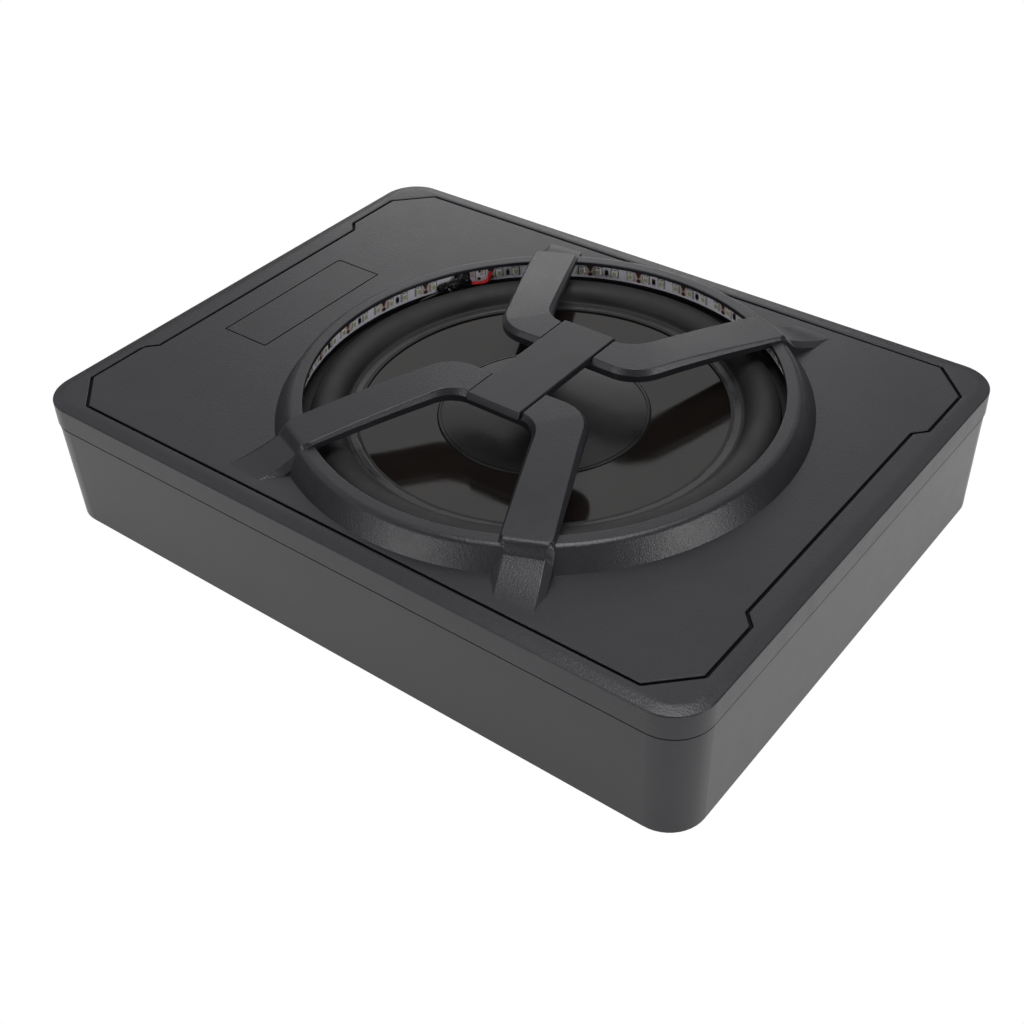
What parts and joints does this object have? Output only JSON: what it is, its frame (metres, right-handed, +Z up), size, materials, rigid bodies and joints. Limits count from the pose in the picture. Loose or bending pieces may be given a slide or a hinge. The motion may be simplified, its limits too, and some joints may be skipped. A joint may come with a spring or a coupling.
{
  "type": "powered car subwoofer",
  "caption": "Flat under-seat powered subwoofer: black case, raised ring with a slanted-arm grille, lit ring, moving cone, knobs and sockets recessed in one end.",
  "frame": {"origin": "centre of the footprint, at the bottom of the rubber feet", "axes": "+Z up through the cone, +X along the length away from the control panel, +Y across the width"},
  "size_m": [0.345, 0.258, 0.0827],
  "materials": {
    "case_metal": "smooth satin black",
    "cover_plastic": "finely textured black",
    "plate_plastic": "finely textured black",
    "foam": "closed-cell foam",
    "foot_rubber": "matt",
    "steel_screw": "zinc plated",
    "brass": "plain",
    "strip_film": "pale flexible circuit",
    "led_body": "unlit lights",
    "chip_black": "matt",
    "copper_pad": "dull copper",
    "wire_red": "insulation",
    "wire_black": "insulation",
    "sleeve": "shrink sleeve",
    "frame_steel": "black powder coat",
    "iron": "zinc plated",
    "ferrite": "ground ferrite",
    "surround_rubber": "smooth",
    "spider_cloth": "resin-dipped cloth",
    "cone_gloss": "gloss black",
    "former_film": "resin-bonded",
    "copper_wire": "enamelled copper",
    "board": "solder mask",
    "aluminium": "extruded",
    "black_plastic": "moulded",
    "cream_plastic": "moulded nylon",
    "blue_plastic": "clear-tinted",
    "tinned": "tin plated",
    "lamp_red": "diffused lens"
  },
  "bodies": {
    "cabinet": {"case": "case_metal", "top_cover": "cover_plastic", "centre_plate": "plate_plastic", "seal_gasket": "foam", "rubber_feet": "foot_rubber", "cover_screws": "steel_screw", "bracket_bushings": "brass", "light_strip": "strip_film", "led_chips": "led_body", "led_resistors": "chip_black", "strip_pads": "copper_pad", "strip_lead_red": "wire_red", "strip_lead_black": "wire_black", "strip_sleeve": "sleeve", "woofer_gasket": "foam", "basket": "frame_steel", "woofer_screws": "steel_screw", "front_plate": "iron", "magnet": "ferrite", "back_plate": "iron", "surround": "surround_rubber", "spider": "spider_cloth", "terminal_strip": "former_film", "terminal_tags": "tinned", "speaker_wire_red": "wire_red", "speaker_wire_black": "wire_black", "amp_board": "board", "board_screws": "steel_screw", "heatsink": "aluminium", "power_transistors": "chip_black", "toroid_core": "ferrite", "toroid_winding": "copper_wire", "capacitors": "black_plastic", "control_panel": "black_plastic", "panel_screws": "steel_screw", "pot_bodies": "blue_plastic", "phase_housing": "tinned", "phono_body": "black_plastic", "phono_shells": "brass", "phono_contacts": "cream_plastic", "power_socket": "cream_plastic", "power_pins": "tinned", "input_socket": "cream_plastic", "input_pins": "tinned", "fuse_holder": "black_plastic", "remote_jack": "black_plastic", "power_lamp": "lamp_red"},
    "cone_assembly": {"cone": "cone_gloss", "dust_cap": "cone_gloss", "coil_former": "former_film", "voice_coil": "copper_wire"},
    "gain": {"gain_knob": "black_plastic"},
    "crossover": {"crossover_knob": "black_plastic"},
    "boost": {"boost_knob": "black_plastic"},
    "phase": {"phase_slider": "black_plastic"},
    "fuse": {"fuse_body": "blue_plastic", "fuse_blades": "tinned"}
  },
  "joints": [
    {"name": "cone_travel", "type": "slide", "parent": "cabinet", "child": "cone_assembly", "axis": [0, 0, 1], "range_m": [-0.004, 0.004], "stiffness_N_per_m": 3000, "deforming": ["surround", "spider"]},
    {"name": "gain_turn", "type": "hinge", "parent": "cabinet", "child": "gain", "pos_m": [-0.1625, -0.034, 0.027], "axis": [-1, 0, 0], "range_deg": [-135, 135]},
    {"name": "crossover_turn", "type": "hinge", "parent": "cabinet", "child": "crossover", "pos_m": [-0.1625, -0.054, 0.027], "axis": [-1, 0, 0], "range_deg": [-135, 135]},
    {"name": "boost_turn", "type": "hinge", "parent": "cabinet", "child": "boost", "pos_m": [-0.1625, -0.074, 0.027], "axis": [-1, 0, 0], "range_deg": [-135, 135]},
    {"name": "phase_slide", "type": "slide", "parent": "cabinet", "child": "phase", "axis": [0, 0, 1], "range_m": [0, 0.004]},
    {"name": "fuse_pull", "type": "slide", "parent": "cabinet", "child": "fuse", "axis": [-1, 0, 0], "range_m": [0, 0.012]}
  ]
}
